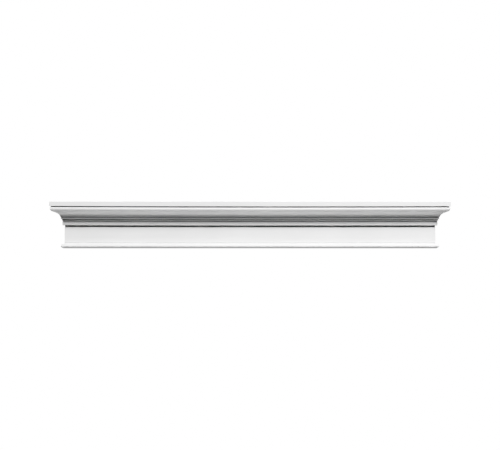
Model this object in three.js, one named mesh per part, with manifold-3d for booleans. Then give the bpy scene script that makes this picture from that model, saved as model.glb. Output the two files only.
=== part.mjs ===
// A flat pediment, or crosshead: the moulded entablature that is fixed to a wall above a door or window.
// It is one casting in rigid foam: a plain frieze between a projecting crown and a small bottom trim.
// The crown and the trim return round both ends with mitred corners, and the back is flat.
//
// Millimetres, +Z up. The front faces -Y and the length runs along X.
// The origin is the middle of the flat back, which lies against the wall in the plane y = 0.

import * as THREE from 'three';
import { mergeVertices } from 'three/addons/utils/BufferGeometryUtils.js';
import Module from 'manifold-3d';

// Overall sizes
const HEIGHT = 152.4;
const FRIEZE_LENGTH = 1206.5;
const FRIEZE_DEPTH = 25.4; // from the wall to the face of the frieze

// Every reach below is measured out from the face of the frieze, and every level up from the underside.
// Bottom trim: a rounded underside, a nose that leans back a little and a low cove back to the frieze
const UNDERSIDE_REACH = 2.8;
const TRIM_REACH = 11.6;
const TRIM_TOP_REACH = 9.8;
const TRIM_NOSE_LOW = 6.6;
const TRIM_NOSE_HIGH = 13.8;
const TRIM_ROUND_RADIUS = 18;
const TRIM_COVE_RADIUS = 18;
const FRIEZE_LOW = 16.8;

// Bed moulding under the crown: a band with a rounded lower edge, then two narrow fillets.
// A shallow quirk, which is a narrow groove, runs under the band and above each of the three.
const FRIEZE_HIGH = 69.7;
const BED_QUIRK_DEPTH = 0.8;
const BED_SOFFIT = 74.4;
const BED_ROUND_RADIUS = 3;
const BED_REACH = 6.6;
const BED_HIGH = 87;
const LOWER_FILLET_REACH = 8.8;
const LOWER_FILLET_HIGH = 92.1;
const UPPER_FILLET_REACH = 11.8;
const UPPER_FILLET_HIGH = 98.4;
const QUIRK_DEPTH = 0.9;
const QUIRK_HEIGHT = 2.9;

// Crown: a cove, a straight slope and a roll, which run into each other without a crease
const ROLL_REACH = 42.9;
const ROLL_LEVEL = 129; // where the roll is upright and reaches furthest
const ROLL_RADIUS = 10; // below that level
const ROLL_SHOULDER_RADIUS = 5.5; // above it
const SLOPE_FROM_UPRIGHT = THREE.MathUtils.degToRad(68);
const SLOPE_LENGTH = 12.6;
const COVE_RADIUS = 21.5;

// Fascia, parted from the roll by the deepest quirk
const FASCIA_QUIRK_REACH = 40.2;
const FASCIA_QUIRK_LOW = 133.5;
const FASCIA_LOW = 136.6;
const FASCIA_REACH = 44.45;
const TOP_ARRIS_RADIUS = 1.2;
const FASCIA_ARRIS_RADIUS = 0.8;

const FACET_LENGTH = 1.2; // the longest facet of a round stretch
const CUTTING_MARGIN = 20; // how far a cutting solid runs past what it cuts

// A point of the moulded edge: how far it reaches out from the frieze, and its level
const at = (reach, level) => new THREE.Vector2(reach, level);

// Adds an arc from the last point of the edge to the next one, as short facets.
// An arc that swells has its centre inside the casting, and a hollow one has it outside.
function addArc(edge, end, radius, swells) {
  const start = edge.at(-1);
  const chord = end.clone().sub(start);
  const inwards = new THREE.Vector2(-chord.y, chord.x).normalize();
  const side = swells ? 1 : -1;
  const centreFromChord = Math.sqrt(radius ** 2 - chord.lengthSq() / 4);
  const centre = start.clone().lerp(end, 0.5).addScaledVector(inwards, side * centreFromChord);
  const firstAngle = start.clone().sub(centre).angle();
  const turn = 2 * side * Math.asin(chord.length() / 2 / radius);
  const facets = Math.max(3, Math.ceil((radius * Math.abs(turn)) / FACET_LENGTH));
  for (let i = 1; i < facets; i++) {
    const angle = firstAngle + (turn * i) / facets;
    edge.push(at(centre.x + radius * Math.cos(angle), centre.y + radius * Math.sin(angle)));
  }
  edge.push(end);
}

function addBottomTrim(edge) {
  edge.push(at(UNDERSIDE_REACH, 0));
  addArc(edge, at(TRIM_REACH, TRIM_NOSE_LOW), TRIM_ROUND_RADIUS, true);
  edge.push(at(TRIM_TOP_REACH, TRIM_NOSE_HIGH));
  addArc(edge, at(0, FRIEZE_LOW), TRIM_COVE_RADIUS, false);
}

// Runs an upright face up to a level, and cuts a shallow quirk above it.
function addFaceAndQuirk(edge, reach, high) {
  edge.push(at(reach, high));
  edge.push(at(reach - QUIRK_DEPTH, high));
  edge.push(at(reach - QUIRK_DEPTH, high + QUIRK_HEIGHT));
}

function addBedMoulding(edge) {
  edge.push(at(0, FRIEZE_HIGH));
  edge.push(at(-BED_QUIRK_DEPTH, FRIEZE_HIGH));
  edge.push(at(-BED_QUIRK_DEPTH, BED_SOFFIT));
  edge.push(at(BED_REACH - BED_ROUND_RADIUS, BED_SOFFIT));
  addArc(edge, at(BED_REACH, BED_SOFFIT + BED_ROUND_RADIUS), BED_ROUND_RADIUS, true);
  addFaceAndQuirk(edge, BED_REACH, BED_HIGH);
  edge.push(at(LOWER_FILLET_REACH, BED_HIGH + QUIRK_HEIGHT));
  addFaceAndQuirk(edge, LOWER_FILLET_REACH, LOWER_FILLET_HIGH);
  edge.push(at(UPPER_FILLET_REACH, LOWER_FILLET_HIGH + QUIRK_HEIGHT));
  addFaceAndQuirk(edge, UPPER_FILLET_REACH, UPPER_FILLET_HIGH);
}

// Worked out from the roll down to the top of the upper fillet's quirk,
// so that the roll, the slope and the cove share their tangents.
function addCrown(edge) {
  const roll = at(ROLL_REACH, ROLL_LEVEL);
  const slopeTop = at(
    roll.x - ROLL_RADIUS * (1 - Math.cos(SLOPE_FROM_UPRIGHT)),
    roll.y - ROLL_RADIUS * Math.sin(SLOPE_FROM_UPRIGHT),
  );
  const slopeFoot = at(
    slopeTop.x - SLOPE_LENGTH * Math.sin(SLOPE_FROM_UPRIGHT),
    slopeTop.y - SLOPE_LENGTH * Math.cos(SLOPE_FROM_UPRIGHT),
  );
  const coveFootLevel = UPPER_FILLET_HIGH + QUIRK_HEIGHT;
  const coveRise = (slopeFoot.y - coveFootLevel) / COVE_RADIUS;
  const coveFootFromUpright = Math.asin(Math.sin(SLOPE_FROM_UPRIGHT) - coveRise);
  const coveRun = COVE_RADIUS * (Math.cos(coveFootFromUpright) - Math.cos(SLOPE_FROM_UPRIGHT));
  edge.push(at(slopeFoot.x - coveRun, coveFootLevel));
  addArc(edge, slopeFoot, COVE_RADIUS, false);
  edge.push(slopeTop);
  addArc(edge, roll, ROLL_RADIUS, true);
  const shoulderRise = FASCIA_QUIRK_LOW - ROLL_LEVEL;
  const shoulderRun = ROLL_SHOULDER_RADIUS - Math.sqrt(ROLL_SHOULDER_RADIUS ** 2 - shoulderRise ** 2);
  addArc(edge, at(roll.x - shoulderRun, FASCIA_QUIRK_LOW), ROLL_SHOULDER_RADIUS, true);
}

function addFascia(edge) {
  edge.push(at(FASCIA_QUIRK_REACH, FASCIA_QUIRK_LOW));
  edge.push(at(FASCIA_QUIRK_REACH, FASCIA_LOW));
  edge.push(at(FASCIA_REACH - FASCIA_ARRIS_RADIUS, FASCIA_LOW));
  addArc(edge, at(FASCIA_REACH, FASCIA_LOW + FASCIA_ARRIS_RADIUS), FASCIA_ARRIS_RADIUS, true);
  edge.push(at(FASCIA_REACH, HEIGHT - TOP_ARRIS_RADIUS));
  addArc(edge, at(FASCIA_REACH - TOP_ARRIS_RADIUS, HEIGHT), TOP_ARRIS_RADIUS, true);
}

// The moulded edge, from the underside up to the top
function mouldedEdge() {
  const edge = [];
  addBottomTrim(edge);
  addBedMoulding(edge);
  addCrown(edge);
  addFascia(edge);
  return edge;
}

// A straight run of moulding with this outline, centred on the origin along its length.
// The outline's own x and y are laid along two axes of the part.
function straightRun(outline, length, xAxis, yAxis) {
  const shape = new THREE.Shape(outline);
  const alongAxis = xAxis.clone().cross(yAxis);
  return new THREE.ExtrudeGeometry(shape, { depth: length, bevelEnabled: false })
    .translate(0, -HEIGHT / 2, -length / 2)
    .applyMatrix4(new THREE.Matrix4().makeBasis(xAxis, yAxis, alongAxis));
}

const wasm = await Module();
wasm.setup();

function toSolid(geometry) {
  const bare = geometry.clone().deleteAttribute('normal').deleteAttribute('uv');
  const merged = mergeVertices(bare);
  return new wasm.Manifold(
    new wasm.Mesh({
      numProp: 3,
      vertProperties: new Float32Array(merged.attributes.position.array),
      triVerts: new Uint32Array(merged.index.array),
    }),
  );
}

function toGeometry(solid) {
  const { vertProperties, triVerts } = solid.getMesh();
  const geometry = new THREE.BufferGeometry();
  geometry.setAttribute('position', new THREE.BufferAttribute(vertProperties, 3));
  geometry.setIndex(new THREE.BufferAttribute(triVerts, 1));
  geometry.computeVertexNormals();
  return geometry;
}

// The end view of the casting gives a long straight moulding, and its front view cuts that to length.
// Both views have the same moulded edge, so the cut leaves a mitred return at each end.
function pedimentGeometry() {
  const edge = mouldedEdge();
  const overallLength = FRIEZE_LENGTH + 2 * FASCIA_REACH;
  const overallDepth = FRIEZE_DEPTH + FASCIA_REACH;
  const right = new THREE.Vector3(1, 0, 0);
  const front = new THREE.Vector3(0, -1, 0);
  const up = new THREE.Vector3(0, 0, 1);

  const endView = [at(0, 0), ...edge.map(({ x, y }) => at(FRIEZE_DEPTH + x, y)), at(0, HEIGHT)];
  const longRun = straightRun(endView, overallLength + CUTTING_MARGIN, front, up);

  const rightEnd = edge.map(({ x, y }) => at(FRIEZE_LENGTH / 2 + x, y));
  const leftEnd = rightEnd.map(({ x, y }) => at(-x, y)).reverse();
  const frontCut = straightRun([...rightEnd, ...leftEnd], 2 * overallDepth + CUTTING_MARGIN, right, up);

  return toGeometry(toSolid(longRun).intersect(toSolid(frontCut)));
}

const primedFoam = new THREE.MeshStandardMaterial({ color: 0xeeeeec, roughness: 0.55, metalness: 0 });

const pediment = new THREE.Mesh(pedimentGeometry(), primedFoam);
pediment.name = 'pediment';

const part = new THREE.Group();
part.add(pediment);

export default part;
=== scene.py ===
# %% [markdown]
# # A flat pediment in primed foam
#
# A flat pediment, also called a crosshead, is the moulded head that is fixed to the wall over a door
# or a window. This one is cast in rigid foam in a single piece: a crown that projects at the top, a
# plain frieze, and a small bottom trim, all returned round both ends with mitred corners. The front
# is primed white. The back is planed flat.
#
# The lesson draws the edge of the mouldings once, carries it round the front and both ends as one
# mesh, and gives it the small faults of a real casting. Then it mixes a satin primer and a bare
# foam, and sets a soft light that shows them.

# %% Load the frame
import math

import bmesh
import bpy
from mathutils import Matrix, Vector, noise
from mathutils.geometry import intersect_line_line_2d


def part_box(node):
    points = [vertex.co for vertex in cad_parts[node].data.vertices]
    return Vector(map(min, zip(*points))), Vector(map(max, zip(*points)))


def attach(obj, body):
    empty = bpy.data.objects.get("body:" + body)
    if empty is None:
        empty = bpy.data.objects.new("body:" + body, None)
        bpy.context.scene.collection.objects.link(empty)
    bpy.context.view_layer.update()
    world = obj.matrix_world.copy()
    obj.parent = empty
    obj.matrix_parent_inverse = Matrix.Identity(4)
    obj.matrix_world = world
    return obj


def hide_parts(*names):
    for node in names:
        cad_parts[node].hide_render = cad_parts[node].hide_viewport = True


MM = 0.001
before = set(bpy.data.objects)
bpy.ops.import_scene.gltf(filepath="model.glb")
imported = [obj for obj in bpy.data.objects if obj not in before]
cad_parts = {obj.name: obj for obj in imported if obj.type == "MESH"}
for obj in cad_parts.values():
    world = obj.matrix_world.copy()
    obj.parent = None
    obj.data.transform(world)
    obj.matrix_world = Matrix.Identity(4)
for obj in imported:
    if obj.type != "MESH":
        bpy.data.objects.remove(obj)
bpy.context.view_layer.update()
low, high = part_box("pediment")
print("frame:", sorted(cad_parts), "from", tuple(low), "to", tuple(high))

# %% [markdown]
# ## The camera
#
# The photograph looks straight at the front, level with the middle of the height. The crown stands
# nearer to the lens than the frieze does, so it looks a little too long for it. How much too long
# gives the distance, and the length of the frieze in pixels then gives the lens. A longer lens from
# further away would fill the frame just as well, but the ends of the crown would show less of their
# mitred returns.

# %% Camera
PHOTO_WIDTH_PX = 500
FOCAL_LENGTH_PX = 1409.5
SENSOR_WIDTH_MM = 36
CAMERA_TO_FRIEZE = 4.589
FASCIA_REACH = 44.45 * MM
frieze_face = low.y + FASCIA_REACH

camera_data = bpy.data.cameras.new("camera")
camera_data.sensor_width = SENSOR_WIDTH_MM
camera_data.lens = SENSOR_WIDTH_MM * FOCAL_LENGTH_PX / PHOTO_WIDTH_PX
camera = bpy.data.objects.new("camera", camera_data)
camera.location = (0, frieze_face - CAMERA_TO_FRIEZE, (low.z + high.z) / 2)
camera.rotation_euler = (math.radians(90), 0, 0)
bpy.context.scene.collection.objects.link(camera)
bpy.context.scene.camera = camera
print(f"camera: {camera_data.lens:.1f} mm lens, {-camera.location.y:.2f} m in front of the wall")

# %% [markdown]
# ## The moulded edge
#
# Every moulding is read off one line, its edge: how far each point reaches out from the face of the
# frieze, at which level above the underside. On the real casting the line is a chain of old joiner's
# shapes: a round, a nose that leans back a little and a low cove on the trim, a band with a rounded
# foot and two fillets under the crown, then a cove, a slope, a roll and the upright fascia. Narrow
# grooves, called quirks, part them and hold the dark lines of the photograph.
#
# The line could be traced with many points. Straight runs and arcs with named sizes say the same
# with far fewer, and they stay smooth however finely they are cut.

# %% Sizes of the mouldings, in millimetres from the frieze and from the underside
UNDERSIDE_REACH, TRIM_REACH, TRIM_TOP_REACH = 2.8, 11.6, 9.8
TRIM_NOSE_LOW, TRIM_NOSE_HIGH, FRIEZE_LOW = 6.6, 13.8, 16.8
TRIM_ROUND_RADIUS, TRIM_COVE_RADIUS = 18, 18

FRIEZE_HIGH, BED_QUIRK_DEPTH, BED_SOFFIT = 69.7, 0.8, 74.4
BED_ROUND_RADIUS, BED_REACH, BED_HIGH = 3, 6.6, 87
LOWER_FILLET_REACH, LOWER_FILLET_HIGH = 8.8, 92.1
UPPER_FILLET_REACH, UPPER_FILLET_HIGH = 11.8, 98.4
QUIRK_DEPTH, QUIRK_HEIGHT = 0.9, 2.9

ROLL_REACH, ROLL_LEVEL, ROLL_RADIUS, ROLL_SHOULDER_RADIUS = 42.9, 129, 10, 5.5
SLOPE_FROM_UPRIGHT, SLOPE_LENGTH, COVE_RADIUS = math.radians(68), 12.6, 21.5
FASCIA_QUIRK_REACH, FASCIA_QUIRK_LOW, FASCIA_LOW = 40.2, 133.5, 136.6
TOP_ARRIS_RADIUS = 1.2
HEIGHT = (high.z - low.z) / MM
CAP_RUN = 4  # how far the edge runs in over the flat underside and top
print(f"moulding: {HEIGHT:.1f} mm high, crown reaches {FASCIA_REACH / MM:.2f} mm past the frieze")

# %% Helpers for a line of straight runs and arcs, still in millimetres
FACET_LENGTH = 0.7
FEWEST_FACETS = 3


def at(reach, level):
    return Vector((reach, level))


def add_arc(edge, end, radius, swells):
    """Adds an arc to the edge as short facets. One that swells has its centre inside the casting."""
    start = edge[-1]
    chord = end - start
    side = 1 if swells else -1
    inwards = Vector((-chord.y, chord.x)).normalized() * side
    centre = (start + end) / 2 + inwards * math.sqrt(max(0, radius**2 - chord.length_squared / 4))
    first = math.atan2(start.y - centre.y, start.x - centre.x)
    turn = 2 * side * math.asin(min(1, chord.length / 2 / radius))
    facets = max(FEWEST_FACETS, math.ceil(radius * abs(turn) / FACET_LENGTH))
    for i in range(1, facets):
        angle = first + turn * i / facets
        edge.append(centre + radius * at(math.cos(angle), math.sin(angle)))
    edge.append(end)


def add_face_and_quirk(edge, reach, top):
    """Runs an upright face up to a level, and cuts a shallow quirk above it."""
    edge += [at(reach, top), at(reach - QUIRK_DEPTH, top)]
    edge.append(at(reach - QUIRK_DEPTH, top + QUIRK_HEIGHT))


print(f"arcs: facets of {FACET_LENGTH} mm at most, and at least {FEWEST_FACETS} of them")

# %% Draw the edge, from the underside up to the top


def add_trim_and_frieze(edge):
    edge += [at(UNDERSIDE_REACH - CAP_RUN, 0), at(UNDERSIDE_REACH, 0)]
    add_arc(edge, at(TRIM_REACH, TRIM_NOSE_LOW), TRIM_ROUND_RADIUS, True)
    edge.append(at(TRIM_TOP_REACH, TRIM_NOSE_HIGH))
    add_arc(edge, at(0, FRIEZE_LOW), TRIM_COVE_RADIUS, False)
    edge.append(at(0, FRIEZE_HIGH))


def add_bed(edge):
    edge += [at(-BED_QUIRK_DEPTH, FRIEZE_HIGH), at(-BED_QUIRK_DEPTH, BED_SOFFIT)]
    edge.append(at(BED_REACH - BED_ROUND_RADIUS, BED_SOFFIT))
    add_arc(edge, at(BED_REACH, BED_SOFFIT + BED_ROUND_RADIUS), BED_ROUND_RADIUS, True)
    add_face_and_quirk(edge, BED_REACH, BED_HIGH)
    edge.append(at(LOWER_FILLET_REACH, edge[-1].y))
    add_face_and_quirk(edge, LOWER_FILLET_REACH, LOWER_FILLET_HIGH)
    edge.append(at(UPPER_FILLET_REACH, edge[-1].y))
    add_face_and_quirk(edge, UPPER_FILLET_REACH, UPPER_FILLET_HIGH)


def add_crown(edge):
    """The roll, the slope and the cove share their tangents, so they are worked out from the roll."""
    sine, cosine = math.sin(SLOPE_FROM_UPRIGHT), math.cos(SLOPE_FROM_UPRIGHT)
    roll = at(ROLL_REACH, ROLL_LEVEL)
    slope_top = roll - ROLL_RADIUS * at(1 - cosine, sine)
    slope_foot = slope_top - SLOPE_LENGTH * at(sine, cosine)
    cove_foot_level = edge[-1].y
    foot_from_upright = math.asin(sine - (slope_foot.y - cove_foot_level) / COVE_RADIUS)
    cove_run = COVE_RADIUS * (math.cos(foot_from_upright) - cosine)
    edge.append(at(slope_foot.x - cove_run, cove_foot_level))
    add_arc(edge, slope_foot, COVE_RADIUS, False)
    edge.append(slope_top)
    add_arc(edge, roll, ROLL_RADIUS, True)
    shoulder_rise = FASCIA_QUIRK_LOW - ROLL_LEVEL
    shoulder_run = ROLL_SHOULDER_RADIUS - math.sqrt(ROLL_SHOULDER_RADIUS**2 - shoulder_rise**2)
    add_arc(edge, roll + at(-shoulder_run, shoulder_rise), ROLL_SHOULDER_RADIUS, True)


def add_fascia(edge):
    reach = FASCIA_REACH / MM
    edge += [at(FASCIA_QUIRK_REACH, FASCIA_QUIRK_LOW), at(FASCIA_QUIRK_REACH, FASCIA_LOW)]
    edge += [at(reach, FASCIA_LOW), at(reach, HEIGHT - TOP_ARRIS_RADIUS)]
    add_arc(edge, at(reach - TOP_ARRIS_RADIUS, HEIGHT), TOP_ARRIS_RADIUS, True)
    edge.append(at(reach - CAP_RUN, HEIGHT))


sharp_edge = []
add_trim_and_frieze(sharp_edge)
add_bed(sharp_edge)
add_crown(sharp_edge)
add_fascia(sharp_edge)
print(f"edge: {len(sharp_edge)} points with sharp arrises")

# %% [markdown]
# ## Soft arrises
#
# A foam casting comes out of a rubber mould, and its primer pools in the corners, so no arris is a
# knife edge. A Bevel modifier could round them afterwards, but it has one width for all of them, and
# the narrow quirks leave it little room. Rounding the corners of the line itself is easier: a real
# corner is where the line turns by a large angle at once, and each cut can be kept shorter than the
# runs that meet there.

# %% Soften the corners, still in millimetres
CORNER_TURN = math.radians(14)
ARRIS_RADIUS = 0.7
HOLLOW_RADIUS = 0.45
MOST_CUT = 0.4  # share of a run that a corner may take


def soften(edge):
    soft = [edge[0]]
    for before, corner, after in zip(edge, edge[1:], edge[2:]):
        way_in, way_out = corner - before, after - corner
        turn = math.atan2(way_in.cross(way_out), way_in.dot(way_out))
        if abs(turn) < CORNER_TURN:
            soft.append(corner)
            continue
        radius = ARRIS_RADIUS if turn > 0 else HOLLOW_RADIUS
        slope = math.tan(abs(turn) / 2)
        cut = min(radius * slope, MOST_CUT * way_in.length, MOST_CUT * way_out.length)
        soft.append(corner - cut * way_in.normalized())
        add_arc(soft, corner + cut * way_out.normalized(), cut / slope, turn > 0)
    return [*soft, edge[-1]]


soft_edge = soften(sharp_edge)
print(f"edge: {len(soft_edge)} points with soft arrises")

# %% Part the long straight runs, and turn the edge into metres
SUPPORT = 0.6  # length of the short piece at each end of a run
SHORTEST_PARTED = 3 * SUPPORT
LONGEST_RUN = 6


def part_straight_runs(edge):
    """A short piece at each end of a run keeps its shading flat, and the rest is cut evenly."""
    parted = [edge[0]]
    for start, end in zip(edge, edge[1:]):
        run = (end - start).length
        along = (end - start) / run
        if run > SHORTEST_PARTED:
            pieces = math.ceil((run - 2 * SUPPORT) / LONGEST_RUN)
            step = (run - 2 * SUPPORT) / pieces
            parted += [start + along * (SUPPORT + step * i) for i in range(pieces + 1)]
        parted.append(end)
    return parted


edge = [point * MM for point in part_straight_runs(soft_edge)]
print(f"edge: {len(edge)} points with its straight runs parted")

# %% [markdown]
# ## Painted shade in the quirks
#
# The primer is sprayed on from the front. The quirks get a dark grey colour in the primer as painted
# shade, so that the lines of the moulding come out darker than the lights alone make them. An Ambient
# Occlusion node could find such places, but it traces rays for every sample and its shade is grainy.
# The edge is the same all along the piece, so its points can be tested once, in the flat: from each
# one a fan of rays goes out, and the share that soon meets the edge again says how sheltered the
# point is. The mesh carries that share as an attribute.

# %% Shelter of each point of the edge
RAYS = 25
RAY_LENGTH = 7 * MM
RAY_START = 0.02 * MM


def shelter_of(i):
    before, after = edge[max(i - 1, 0)], edge[min(i + 1, len(edge) - 1)]
    along = (after - before).normalized()
    outwards = Vector((along.y, -along.x))
    start = edge[i] + RAY_START * outwards
    met = 0
    for ray in range(RAYS):
        angle = math.asin((2 * ray + 1) / RAYS - 1)
        end = start + RAY_LENGTH * (math.cos(angle) * outwards + math.sin(angle) * along)
        met += any(intersect_line_line_2d(start, end, a, b) for a, b in zip(edge, edge[1:]))
    return met / RAYS


shelter = [shelter_of(i) for i in range(len(edge))]
sheltered_points = sum(share > 0 for share in shelter)
print(f"shelter: {sheltered_points} of {len(edge)} points, {max(shelter):.0%} at most")

# %% [markdown]
# ## One edge, carried round three sides
#
# Seen from above, the casting is a rectangle at every level, larger or smaller by the reach of the
# edge there. A curve with a bevel object could sweep the edge along a U, but it pinches at square
# corners. So each level gets its own outline: back to front along the right end, round a small
# mitre arris, along the front, and back along the left end. All outlines have the same number of
# points, and the mesh is simply the net between them.

# %% The outline at one level
MITRE_RADIUS = 0.9 * MM
CORNER_STEPS = 5
END_STEPS = 12
FRONT_STEPS = 170
END_SUPPORTS = (0.7 * MM, 3 * MM)
frieze_half_length = high.x - FASCIA_REACH
frieze_depth = high.y - frieze_face


def stations(length, steps):
    """Distances along a straight side, closer together near its two ends."""
    first = END_SUPPORTS[-1]
    even = [first + (length - 2 * first) * i / steps for i in range(steps + 1)]
    return [0, END_SUPPORTS[0], *even, length - END_SUPPORTS[0], length]


def straight_sizes(reach):
    """Half the front and the whole end at this reach, without the mitre arris."""
    return frieze_half_length + reach - MITRE_RADIUS, frieze_depth + reach - MITRE_RADIUS


def outline(reach):
    half, depth = straight_sizes(reach)
    right = [Vector((half + MITRE_RADIUS, -d)) for d in stations(depth, END_STEPS)]
    for i in range(1, CORNER_STEPS):
        angle = math.radians(90) * i / CORNER_STEPS
        round_corner = Vector((math.cos(angle), -math.sin(angle)))
        right.append(Vector((half, -depth)) + MITRE_RADIUS * round_corner)
    front = [Vector((half - d, -depth - MITRE_RADIUS)) for d in stations(2 * half, FRONT_STEPS)]
    left = [Vector((-point.x, point.y)) for point in reversed(right)]
    return right + front + left


print(f"outline: {len(outline(0))} points at each of {len(edge)} levels")

# %% [markdown]
# ## The small faults of a casting
#
# Drawn with exact lines, the mesh would look machined. Foam shrinks as it cures, so the lines of the
# real piece wander by about a tenth of a millimetre and sag by one or two over the length: in the
# photograph the quirk under the fascia lies lower in the middle than at the ends. Smooth noise with
# a long wave and a short one gives the wander, and a flat arch gives the sag. A Displace modifier
# could move the mesh later, with a vertex group to hold some faces still. Moving each point as it is
# made is simpler, and the shift fades out where the top, the underside and the back have to stay
# flat. Noise taken from fixed places is the same on every run.

# %% Wander and sag of the lines
LONG_WAVE, LONG_WANDER = 0.25, 0.1 * MM
SHORT_WAVE, SHORT_WANDER = 0.06, 0.02 * MM
RISE_LAYER, SWELL_LAYER = 0.3, 1.7  # two places in the noise, far enough apart
SAG = 1.6 * MM
SAG_LEVEL = 134 * MM  # the quirk under the fascia
SAG_MIDDLE, SAG_HALF_LENGTH = 0.12, 0.72
SAG_MEAN = 0.6  # height in the arch that stays level: the ends rise as the middle sinks


def wander(point, layer):
    long_wave = noise.noise(Vector((point.x, point.y, layer)) / LONG_WAVE)
    short_wave = noise.noise(Vector((point.x, point.y, layer)) / SHORT_WAVE)
    return LONG_WANDER * long_wave + SHORT_WANDER * short_wave


def sag(x, level):
    """How far a line has sunk: most at the quirk under the fascia, not at the underside or the top."""
    below, above = level / SAG_LEVEL, (HEIGHT * MM - level) / (HEIGHT * MM - SAG_LEVEL)
    along = 1 - ((x - SAG_MIDDLE) / SAG_HALF_LENGTH) ** 2
    return SAG * min(below, above) * (along - SAG_MEAN)


def cast_point(plan_point, level):
    """A point of the casting, in the part's own frame, moved by the wander and sag of its line."""
    share = level / (HEIGHT * MM)
    fade = 4 * share * (1 - share)
    rise = wander(plan_point, RISE_LAYER + level) * fade - sag(plan_point.x, level)
    swell = wander(plan_point, SWELL_LAYER + level) * fade
    out = swell if plan_point.y < 0 else 0
    return Vector((plan_point.x, plan_point.y - out, low.z + level + rise))


print(f"wander: up to {(LONG_WANDER + SHORT_WANDER) / MM:.2f} mm, sag {SAG / MM:.1f} mm")

# %% [markdown]
# ## The mesh
#
# The net of the moulded faces is closed by three plain faces. The top and the underside follow the
# same stations as the outline, so that they meet it point for point. The back is one flat face with
# the whole edge as its rim: it is planed, so it needs no net of its own. Its rim is marked sharp,
# because the planer leaves a crisp arris there. A Boolean of two long mouldings would give the same
# form, but with slivers along the mitres that spoil the shading.

# %% Nets and caps


def add_net(bm, rows):
    for lower, upper in zip(rows, rows[1:]):
        for a, b, c, d in zip(lower, lower[1:], upper[1:], upper):
            bm.faces.new((a, b, c, d))


def add_cap(bm, ring, reach, z):
    """Closes the top or the underside, and returns its points along the back, from right to left."""
    half, depth = straight_sizes(reach)
    across = stations(2 * half, FRONT_STEPS)
    back_to_front = stations(depth, END_STEPS)
    rows = [[bm.verts.new((half - d, -y, z)) for d in across] for y in back_to_front]
    count = len(back_to_front)
    front = count + CORNER_STEPS - 1
    from_left = ring[::-1]
    add_net(bm, rows)
    add_net(bm, [ring[:count], [row[0] for row in rows]])
    add_net(bm, [[row[-1] for row in rows], from_left[:count]])
    add_net(bm, [rows[-1], ring[front : front + len(across)]])
    for corner, side in ((rows[-1][0], ring), (rows[-1][-1], from_left)):
        arc = side[count - 1 : front + 1]
        for a, b in zip(arc, arc[1:]):
            bm.faces.new((corner, a, b))
    return [ring[0], *rows[0], ring[-1]]


print(f"caps: {FRONT_STEPS} by {END_STEPS} even cells, with closer ones near the rim")

# %% Build the casting
PRIMER_FACE, FOAM_FACE = 0, 1
SHELTER_NAME = "shelter"


def build_casting():
    bm = bmesh.new()
    sheltered = bm.verts.layers.float.new(SHELTER_NAME)
    rings = [[bm.verts.new(cast_point(p, point.y)) for p in outline(point.x)] for point in edge]
    for ring, share in zip(rings, shelter):
        for vert in ring:
            vert[sheltered] = share
    add_net(bm, rings)
    under_rim = add_cap(bm, rings[0], edge[0].x, low.z)
    top_rim = add_cap(bm, rings[-1], edge[-1].x, high.z)
    right_rim = [ring[0] for ring in rings[1:-1]]
    left_rim = [ring[-1] for ring in rings[1:-1]]
    back = bm.faces.new([*top_rim, *reversed(left_rim), *reversed(under_rim), *right_rim])
    bmesh.ops.recalc_face_normals(bm, faces=bm.faces)
    for face in bm.faces:
        face.smooth = face is not back
        face.material_index = FOAM_FACE if face is back else PRIMER_FACE
    for rim_edge in back.edges:
        rim_edge.smooth = False
    mesh = bpy.data.meshes.new("pediment_casting")
    bm.to_mesh(mesh)
    bm.free()
    return mesh


casting = bpy.data.objects.new("pediment_casting", build_casting())
bpy.context.scene.collection.objects.link(casting)
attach(casting, "root")
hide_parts("pediment")
print(f"casting: {len(casting.data.vertices)} points, {len(casting.data.polygons)} faces")

# %% [markdown]
# ## Writing shaders as sums
#
# A finish is mostly arithmetic: this grain times that strength, plus a little mottling. Node by node
# that is long to write and hard to read. So one small class stands for a socket. Adding or
# multiplying two of them adds the Math node that does it, and one method makes any other node.

# %% A socket that can be calculated with
class Socket:
    """One output of a node, or the start of a tree when it has none."""

    def __init__(self, tree, output=None):
        self.tree = tree
        self.output = output

    def node(self, kind, settings=None, sockets=None, output=0):
        """Adds a node: its settings first, then the values or links of its sockets."""
        made = self.tree.nodes.new(kind)
        for name, value in (settings or {}).items():
            setattr(made, name, value)
        for name, value in (sockets or {}).items():
            if isinstance(value, Socket):
                self.tree.links.new(value.output, made.inputs[name])
            else:
                made.inputs[name].default_value = value
        return Socket(self.tree, made.outputs[output] if made.outputs else None)

    def math(self, operation, first, second):
        return self.node("ShaderNodeMath", {"operation": operation}, {0: first, 1: second})

    def __add__(self, other):
        return self.math("ADD", self, other)

    __radd__ = __add__

    def __sub__(self, other):
        return self.math("SUBTRACT", self, other)

    def __rsub__(self, other):
        return self.math("SUBTRACT", other, self)

    def __mul__(self, other):
        return self.math("MULTIPLY", self, other)

    __rmul__ = __mul__

    def ramp(self, start, end):
        """0 below start and 1 above end, with a soft step between."""
        sockets = {"Value": self, "From Min": start, "From Max": end}
        return self.node("ShaderNodeMapRange", {"interpolation_type": "SMOOTHSTEP"}, sockets)

    def mix(self, first, second):
        """A colour between two others, with this socket as the factor."""
        # A Mix node has sockets for each kind of data: its colours are inputs 6 and 7 and output 2.
        sockets = {0: self, 6: first, 7: second}
        return self.node("ShaderNodeMix", {"data_type": "RGBA"}, sockets, output=2)


print("shader sums:", [name for name in vars(Socket) if not name.startswith("__")])

# %% Helpers that both finishes use


def new_finish(name):
    material = bpy.data.materials.new(name)
    material.use_nodes = True
    material.node_tree.nodes.clear()
    return material, Socket(material.node_tree)


def grain(place, wave, detail=2):
    """Noise whose waves are about this many metres long."""
    sockets = {"Vector": place, "Scale": 1 / wave, "Detail": detail}
    return place.node("ShaderNodeTexNoise", None, sockets)


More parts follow.
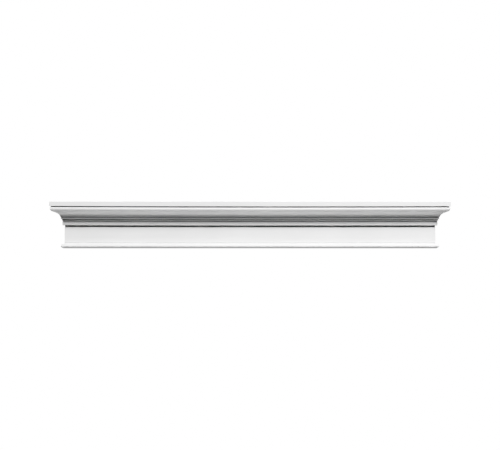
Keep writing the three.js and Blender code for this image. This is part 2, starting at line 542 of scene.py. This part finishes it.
def cells(place, size, output="Distance"):
    """Cells about this many metres across: the distance from the middle, or each cell's colour."""
    sockets = {"Vector": place, "Scale": 1 / size}
    return place.node("ShaderNodeTexVoronoi", {"feature": "F1"}, sockets, output)


def stretch(place, factors):
    return place.node("ShaderNodeVectorMath", {"operation": "MULTIPLY"}, {0: place, 1: factors})


def finish_surface(tree, colour, rough, relief, relief_depth, specular):
    bump = tree.node("ShaderNodeBump", None, {"Height": relief, "Distance": relief_depth})
    look = {"Base Color": colour, "Roughness": rough, "Normal": bump, "Specular IOR Level": specular}
    shader = tree.node("ShaderNodeBsdfPrincipled", None, look)
    tree.node("ShaderNodeOutputMaterial", None, {"Surface": shader})


print("finish helpers: noise, cells, stretch and one surface shader")

# %% [markdown]
# ## Satin primer
#
# The front is sprayed with a white primer that is meant to be painted over. It is not dead flat: it
# has a fine skin of orange peel about two millimetres across, a dusting of finer grain, a few
# pinholes where air sat in the mould, and a slow change of tone where the spray lay thicker. All of
# it is faint. Painted image maps could hold it, but noise in the part's own space needs no unwrapping
# and has no seams at the mitres. The relief goes to a Bump node, because it is far too fine for the
# mesh, and the tone moves by a few hundredths around a neutral white. Only in the quirks, where the
# edge shelters itself, is the colour painted dark grey, as shade.

# %% Pinholes
PINHOLE_SPACING = 11 * MM
PINHOLE_FLOOR, PINHOLE_RIM = 0.02, 0.05  # radii as shares of the spacing
FIRST_LOT, SURE_LOT = 0.84, 0.86  # lots that start to draw a hole, and that surely do


def pinholes(place):
    """1 in a few small round holes, and 0 elsewhere. A cell's colour, read as a number, is its lot."""
    hole = 1 - cells(place, PINHOLE_SPACING).ramp(PINHOLE_FLOOR, PINHOLE_RIM)
    return hole * cells(place, PINHOLE_SPACING, "Color").ramp(FIRST_LOT, SURE_LOT)


print(f"pinholes: {2 * PINHOLE_RIM * PINHOLE_SPACING / MM:.1f} mm across, in a few cells")

# %% Primer
PRIMER_THIN, PRIMER_THICK = (0.815, 0.815, 0.815, 1), (0.872, 0.872, 0.872, 1)
# painted shade: the dark grey that the quirks get in the primer's colour, standing in for shade
QUIRK_PAINTED_SHADE = (0.16, 0.16, 0.16, 1)
SHELTER_START, SHELTER_END = 0.12, 0.34  # shelter shares where the painted shade starts, and where it is darkest
CLOUD_WAVE, STREAK_WAVE, PEEL_WAVE, DUST_WAVE = 160 * MM, 12 * MM, 2.2 * MM, 0.5 * MM
STREAK_STRETCH = (0.06, 1, 1)
CLOUD_TONE, STREAK_TONE, PEEL_TONE, PINHOLE_TONE = 0.6, 0.3, 0.1, 0.5
TONE_START, TONE_END = 0.3, 0.7
PRIMER_ROUGHNESS, CLOUD_ROUGHNESS, DUST_ROUGHNESS = 0.34, 0.08, 0.08
PEEL_RELIEF, DUST_RELIEF, PINHOLE_RELIEF = 0.7, 0.3, 1.5
PRIMER_RELIEF_DEPTH = 0.05 * MM
PRIMER_SPECULAR = 0.5


def primer_finish():
    material, tree = new_finish("satin_primer")
    place = tree.node("ShaderNodeTexCoord", output="Object")
    clouds = grain(place, CLOUD_WAVE, detail=4)
    streaks = grain(stretch(place, STREAK_STRETCH), STREAK_WAVE)
    peel = grain(place, PEEL_WAVE, detail=1)
    dust = grain(place, DUST_WAVE)
    holes = pinholes(place)
    thickness = CLOUD_TONE * clouds + STREAK_TONE * streaks + PEEL_TONE * peel
    tone = thickness.ramp(TONE_START, TONE_END) - PINHOLE_TONE * holes
    sheltered = tree.node("ShaderNodeAttribute", {"attribute_name": SHELTER_NAME}, output="Fac")
    coat = tone.mix(PRIMER_THIN, PRIMER_THICK)
    # painted shade: the more sheltered a point of the edge, the darker grey its colour
    colour = sheltered.ramp(SHELTER_START, SHELTER_END).mix(coat, QUIRK_PAINTED_SHADE)
    rough = PRIMER_ROUGHNESS + CLOUD_ROUGHNESS * clouds + DUST_ROUGHNESS * dust
    relief = PEEL_RELIEF * peel + DUST_RELIEF * dust - PINHOLE_RELIEF * holes
    finish_surface(tree, colour, rough, relief, PRIMER_RELIEF_DEPTH, PRIMER_SPECULAR)
    return material


casting.data.materials.append(primer_finish())
print("finish:", casting.data.materials[PRIMER_FACE].name)

# %% [markdown]
# ## Planed foam
#
# The back was the open side of the mould. The foam that rose out of it is planed off flat, which lays
# its cells open: a warm, chalky face with pores of a millimetre or two, faint ripples from the cutter
# across the height, and white overspray of primer creeping in from the rim. A scan of real foam would
# show the same. Here two Voronoi patterns are the pores, because their round cells look like burst
# bubbles, a stretched noise is the ripple, and the overspray is a ragged band near the top and the
# underside.

# %% Foam
FOAM_PALE, FOAM_DEEP = (0.72, 0.66, 0.53, 1), (0.58, 0.51, 0.38, 1)
PORE_SIZE, FINE_PORE_SIZE = 2.1 * MM, 0.9 * MM
OPEN_CELL_MIDDLE, OPEN_CELL_RIM = 0.1, 0.42
MOTTLE_WAVE, RIPPLE_WAVE, RAG_WAVE = 90 * MM, 4.5 * MM, 20 * MM
RIPPLE_STRETCH = (1, 1, 0.02)
OVERSPRAY_SOLID, OVERSPRAY_REACH, OVERSPRAY_RAG = 4.4 * MM, 11 * MM, 12 * MM
OVERSPRAY_COVER = 0.85
GRAIN_MEAN = 0.5
MOTTLE_TONE, CELL_TONE, RIPPLE_TONE = 0.55, 0.5, 0.15
FOAM_TONE_START, FOAM_TONE_END = 0.15, 0.95
FOAM_ROUGHNESS, OVERSPRAY_GLOSS = 0.88, 0.22
PORE_RELIEF, FINE_PORE_RELIEF, RIPPLE_RELIEF = 0.5, 0.3, 0.35
FOAM_RELIEF_DEPTH = 0.4 * MM
FOAM_SPECULAR = 0.25


def overspray_mask(place):
    """1 near the top and the underside, with a ragged end, and 0 further in."""
    level = place.node("ShaderNodeSeparateXYZ", None, {0: place}, output="Z")
    from_rim = high.z - place.node("ShaderNodeMath", {"operation": "ABSOLUTE"}, {0: level})
    ragged = from_rim + OVERSPRAY_RAG * (grain(place, RAG_WAVE, detail=4) - GRAIN_MEAN)
    return 1 - ragged.ramp(OVERSPRAY_SOLID, OVERSPRAY_REACH)


def foam_finish():
    material, tree = new_finish("planed_foam")
    place = tree.node("ShaderNodeTexCoord", output="Object")
    pores, fine_pores = cells(place, PORE_SIZE), cells(place, FINE_PORE_SIZE)
    open_cells = 1 - pores.ramp(OPEN_CELL_MIDDLE, OPEN_CELL_RIM)
    mottle = grain(place, MOTTLE_WAVE, detail=5)
    ripple = grain(stretch(place, RIPPLE_STRETCH), RIPPLE_WAVE, detail=1)
    overspray = overspray_mask(place)
    tone = MOTTLE_TONE * mottle + CELL_TONE * open_cells + RIPPLE_TONE * ripple
    warm = tone.ramp(FOAM_TONE_START, FOAM_TONE_END).mix(FOAM_PALE, FOAM_DEEP)
    colour = (OVERSPRAY_COVER * overspray).mix(warm, PRIMER_THICK)
    rough = FOAM_ROUGHNESS - OVERSPRAY_GLOSS * overspray
    relief = PORE_RELIEF * pores + FINE_PORE_RELIEF * fine_pores + RIPPLE_RELIEF * ripple
    finish_surface(tree, colour, rough, relief, FOAM_RELIEF_DEPTH, FOAM_SPECULAR)
    return material


casting.data.materials.append(foam_finish())
print("finishes on the casting:", [material.name for material in casting.data.materials])

# %% [markdown]
# ## Floor and background
#
# The part is made to hang over an opening, so the floor lies a storey below it and stays out of the
# first view. It is a plain pale disc, a shade darker than the primer, so that the white piece stands
# out against it from above. The lights are aimed at the part and leave the floor uneven, so most of
# its tone is a glow of its own, which doesn't light the part.
#
# The background is white to the camera, but it lights the part only faintly: a white sky all round
# would fill every quirk with light, and the lines of the moulding would be lost. A Mix Shader that
# asks whether the ray comes from the camera keeps the two strengths apart.

# %% Floor
FLOOR_DROP, FLOOR_RADIUS, FLOOR_SIDES = 3.2, 14, 96
FLOOR_GREY, FLOOR_GLOW, FLOOR_ROUGHNESS = (0.3, 0.3, 0.3, 1), 0.42, 0.9
WHITE = (1, 1, 1, 1)


def floor_finish():
    material, tree = new_finish("pale_floor")
    glow = {"Emission Color": WHITE, "Emission Strength": FLOOR_GLOW}
    look = {"Base Color": FLOOR_GREY, "Roughness": FLOOR_ROUGHNESS, **glow}
    shader = tree.node("ShaderNodeBsdfPrincipled", None, look)
    tree.node("ShaderNodeOutputMaterial", None, {"Surface": shader})
    return material


def pale_floor():
    mesh = bpy.data.meshes.new("floor")
    bm = bmesh.new()
    bmesh.ops.create_circle(bm, cap_ends=True, segments=FLOOR_SIDES, radius=FLOOR_RADIUS)
    bm.to_mesh(mesh)
    bm.free()
    mesh.materials.append(floor_finish())
    floor = bpy.data.objects.new("floor", mesh)
    floor.location.z = low.z - FLOOR_DROP
    floor.visible_diffuse = False
    floor.visible_glossy = False
    bpy.context.scene.collection.objects.link(floor)


pale_floor()
print("floor:", FLOOR_DROP, "m below the part")

# %% Background
BACKGROUND_WHITE, BACKGROUND_LIGHT = 1, 0.02


def white_background():
    world = bpy.data.worlds.new("studio")
    world.use_nodes = True
    world.node_tree.nodes.clear()
    tree = Socket(world.node_tree)
    to_camera = tree.node("ShaderNodeLightPath", output="Is Camera Ray")
    faint = tree.node("ShaderNodeBackground", None, {"Color": WHITE, "Strength": BACKGROUND_LIGHT})
    seen = tree.node("ShaderNodeBackground", None, {"Color": WHITE, "Strength": BACKGROUND_WHITE})
    shader = tree.node("ShaderNodeMixShader", None, {0: to_camera, 1: faint, 2: seen})
    tree.node("ShaderNodeOutputWorld", None, {"Surface": shader})
    bpy.context.scene.world = world


white_background()
print("background: white to the camera, and", BACKGROUND_LIGHT, "as light on the part")

# %% [markdown]
# ## Light
#
# The shadows of the photograph tell where its light was. The crown shades the fillets and the bed but
# hardly the frieze, so the main light is a strip about fifty degrees up, in front. The right half is
# brighter, so it stands a metre to the right. The crown cuts off a weaker strip above it a little
# further down, so the shade under the bed fades out softly at the top of the frieze. A weak one below
# it brings the fillets out of the dark. The slope under the roll is bright although it faces down, so
# a light also comes from straight below, where the trim hides it from the frieze.
#
# One large area light would be simpler, but it would blur these edges of shade, and a sun lamp would
# make them too hard. Thin strips, all longer than the part, give shade that is soft along the length
# and crisp across it. A last light, behind, shows the back to a camera that goes round there.

# %% Softboxes
BOX_DISTANCE = 2.6  # metres from the part


def softbox(name, elevation, filled, length, radiance, aside=0):
    """A strip along the part, seen from it at this elevation and filling this angle, in degrees."""
    direction = Vector((0, -math.cos(math.radians(elevation)), math.sin(math.radians(elevation))))
    light = bpy.data.lights.new(name, "AREA")
    light.shape = "RECTANGLE"
    light.size = length
    light.size_y = 2 * BOX_DISTANCE * math.tan(math.radians(filled / 2))
    light.energy = radiance * math.pi * light.size * light.size_y
    box = bpy.data.objects.new(name, light)
    box.location = BOX_DISTANCE * direction + Vector((aside, 0, 0))
    box.rotation_euler = (-direction).to_track_quat("-Z", "Y").to_euler()
    box.visible_camera = False
    bpy.context.scene.collection.objects.link(box)


softbox("main_strip", elevation=51, filled=6, length=4, radiance=20.5, aside=1)
softbox("upper_strip", elevation=57, filled=6, length=6, radiance=6.8)
softbox("lower_strip", elevation=39, filled=6, length=4, radiance=5.6, aside=1)
softbox("light_from_below", elevation=-91, filled=6, length=2.4, radiance=9)
softbox("light_behind", elevation=150, filled=20, length=5, radiance=2.4)

# %% [markdown]
# ## Printing the picture
#
# The whites of the photograph sit close together, although the mouldings face the light at quite
# different angles, and the mouldings in the shade are lifted. That is the shoulder of a print: the
# more light there is, the less a little more of it shows. A filmic view transform has such a shoulder
# too, but it also turns the white background grey. A short curve over the Standard transform keeps
# white at white, and it touches neither the materials nor the lights.

# %% Shoulder of the print
SHOULDER = 0.7  # a smaller value bends the curve earlier
CURVE_END, CURVE_STEPS = 2.0, 16
ALL_CHANNELS = 3  # the curve for red, green and blue together


def printed(light):
    return (1 + SHOULDER) * light / (light + SHOULDER)


view = bpy.context.scene.view_settings
view.view_transform = "Standard"
view.use_curve_mapping = True
view.curve_mapping.use_clip = False
view.curve_mapping.white_level = (CURVE_END, CURVE_END, CURVE_END)
curve = view.curve_mapping.curves[ALL_CHANNELS]
curve.points[0].location = (0, 0)
curve.points[-1].location = (1, printed(CURVE_END))
for i in range(1, CURVE_STEPS):
    curve.points.new(i / CURVE_STEPS, printed(CURVE_END * i / CURVE_STEPS))
view.curve_mapping.update()
print("print:", {light: round(printed(light), 2) for light in (0.1, 0.3, 0.6, 1)})

# %% [markdown]
# ## The end
#
# The dressed part has to fill the same box as the plain solid that it stands for.
